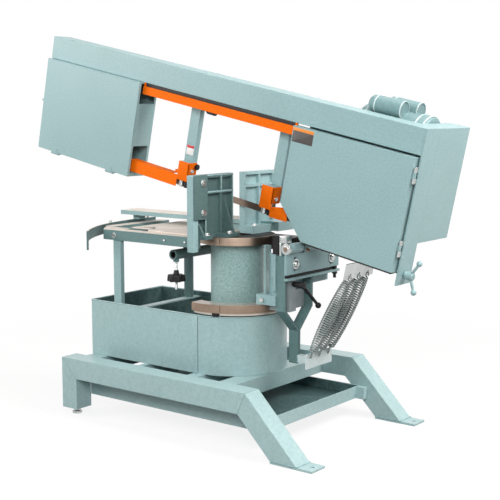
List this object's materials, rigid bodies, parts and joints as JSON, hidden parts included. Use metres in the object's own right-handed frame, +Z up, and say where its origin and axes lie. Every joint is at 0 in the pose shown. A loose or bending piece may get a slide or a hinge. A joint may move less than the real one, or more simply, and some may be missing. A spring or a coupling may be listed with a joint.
{
  "type": "mitre band saw",
  "caption": "Floor-standing mitre band saw: a hinged saw head swivels round a column on a tube-frame stand with chip pan, fence, vise and counterbalance springs.",
  "frame": {"origin": "on the swivel axis at floor level", "axes": "+X to the right along the rails and the blade, +Y to the back, +Z up"},
  "size_m": [1.8241, 0.74, 1.4533],
  "materials": {
    "hammertone_paint": "grey-green hammertone enamel, semi-gloss",
    "orange_paint": "orange enamel",
    "machined_steel": "bare turned and ground steel, lightly oxidised",
    "zinc_plate": "bright zinc plate",
    "black_plastic": "black moulded plastic",
    "blade_steel": "plain steel",
    "cast_iron": "machined grey iron",
    "belt_rubber": "black rubber",
    "motor_paint": "grey-green enamel on a light alloy shell"
  },
  "bodies": {
    "stand": {"base_frame": "hammertone_paint", "levelling_feet": "zinc_plate", "drip_tray": "hammertone_paint", "chip_pan": "hammertone_paint", "column": "hammertone_paint", "lower_ring": "machined_steel", "upper_ring": "machined_steel", "table_rail": "hammertone_paint", "table_legs": "hammertone_paint", "table_arc": "hammertone_paint", "table_plate": "machined_steel", "vise_base": "hammertone_paint", "fence_front": "hammertone_paint", "fence_post": "hammertone_paint", "fence_rear": "hammertone_paint", "stand_bolts": "zinc_plate", "stop_tube": "hammertone_paint"},
    "stop_screw": {"stop_knob": "black_plastic"},
    "vise_slider": {"vise_jaw": "hammertone_paint"},
    "vise_clamp": {"vise_lever": "black_plastic"},
    "swivel": {"swivel_yoke": "hammertone_paint", "swivel_carriage": "hammertone_paint", "upper_shoe": "black_plastic", "lower_shoe": "hammertone_paint", "hinge_plate": "hammertone_paint", "hinge_shaft": "zinc_plate", "hinge_fasteners": "zinc_plate", "lock_block": "hammertone_paint", "spring_anchor": "hammertone_paint", "spring_front": "zinc_plate", "spring_middle": "zinc_plate", "spring_rear": "zinc_plate"},
    "swivel_lock": {"lock_lever": "black_plastic"},
    "head": {"head_beam": "hammertone_paint", "drive_case": "hammertone_paint", "head_barrel": "hammertone_paint", "belt_guard": "hammertone_paint", "idler_case": "hammertone_paint", "return_guard": "orange_paint", "blade": "blade_steel", "right_guide_arm": "hammertone_paint", "right_guide": "orange_paint", "motor": "motor_paint", "capacitor_covers": "hammertone_paint", "gear_case": "cast_iron", "spring_bracket": "zinc_plate", "door_hinges": "zinc_plate", "idler_axle": "blade_steel", "belt": "belt_rubber"},
    "drive_cover": {"drive_door": "hammertone_paint"},
    "idler_cover": {"idler_door": "hammertone_paint"},
    "left_guide_unit": {"left_guide_arm": "hammertone_paint", "left_guide": "orange_paint", "left_guard": "orange_paint"},
    "guide_clamp": {"guide_knob": "black_plastic"},
    "drive_rotor": {"drive_wheel": "cast_iron"},
    "idler_rotor": {"idler_wheel": "cast_iron"},
    "worm_rotor": {"worm_shaft": "blade_steel"},
    "motor_rotor": {"motor_pulley": "cast_iron"},
    "tension_screw": {"spring_handle": "hammertone_paint"}
  },
  "joints": [
    {"name": "swivel_turn", "type": "hinge", "parent": "stand", "child": "swivel", "pos_m": [0, 0, 0.58], "axis": [0, 0, -1], "range_deg": [-45, 45]},
    {"name": "head_tilt", "type": "hinge", "parent": "swivel", "child": "head", "pos_m": [0.29, 0, 0.671], "axis": [0, 1, 0], "range_deg": [-11.7, 23], "deforming": ["spring_front", "spring_middle", "spring_rear"]},
    {"name": "drive_door_swing", "type": "hinge", "parent": "head", "child": "drive_cover", "pos_m": [0.73966, -0.045, 0.82297], "axis": [0.2028, 0, 0.9792], "range_deg": [0, 100]},
    {"name": "idler_door_swing", "type": "hinge", "parent": "head", "child": "idler_cover", "pos_m": [-0.76742, -0.05, 0.94002], "axis": [0.9792, 0, -0.2028], "range_deg": [0, 110]},
    {"name": "guide_slide", "type": "slide", "parent": "head", "child": "left_guide_unit", "axis": [0.9792, 0, -0.2028], "range_m": [-0.1, 0.1]},
    {"name": "guide_knob_turn", "type": "hinge", "parent": "left_guide_unit", "child": "guide_clamp", "pos_m": [-0.18191, 0.03, 1.15373], "axis": [0.9792, 0, -0.2028], "range_deg": [0, 180]},
    {"name": "drive_spin", "type": "hinge", "parent": "head", "child": "drive_rotor", "pos_m": [0.48524, 0, 0.87408], "axis": [0, 1, 0], "continuous": true},
    {"name": "idler_spin", "type": "hinge", "parent": "head", "child": "idler_rotor", "pos_m": [-0.74173, 0, 1.12817], "axis": [0, 1, 0], "continuous": true},
    {"name": "worm_spin", "type": "hinge", "parent": "head", "child": "worm_rotor", "pos_m": [0.55012, 0.14, 0.94081], "axis": [0.9792, 0, -0.2028], "continuous": true},
    {"name": "motor_spin", "type": "hinge", "parent": "head", "child": "motor_rotor", "pos_m": [0.62748, 0.16, 1.06781], "axis": [0.9792, 0, -0.2028], "continuous": true},
    {"name": "tension_turn", "type": "hinge", "parent": "head", "child": "tension_screw", "pos_m": [0.69986, 0.015, 0.60859], "axis": [0.9792, 0, -0.2028], "continuous": true},
    {"name": "lock_lever_turn", "type": "hinge", "parent": "swivel", "child": "swivel_lock", "pos_m": [0.29, -0.048, 0.543], "axis": [1, 0, 0], "range_deg": [-40, 40]},
    {"name": "stop_knob_turn", "type": "hinge", "parent": "stand", "child": "stop_screw", "pos_m": [-0.2, -0.116, 0.54], "axis": [0, 0, 1], "range_deg": [0, 360]},
    {"name": "vise_slide", "type": "slide", "parent": "stand", "child": "vise_slider", "axis": [1, 0, 0], "range_m": [-0.3, 0.165]},
    {"name": "vise_lever_turn", "type": "hinge", "parent": "vise_slider", "child": "vise_clamp", "pos_m": [-0.25, 0.12, 0.76], "axis": [0, 0, 1], "range_deg": [0, 80]}
  ],
  "couplings": [
    {"joint": "idler_spin", "follows": "drive_spin", "ratio": 1},
    {"joint": "worm_spin", "follows": "drive_spin", "ratio": 20},
    {"joint": "motor_spin", "follows": "drive_spin", "ratio": 34.86}
  ]
}
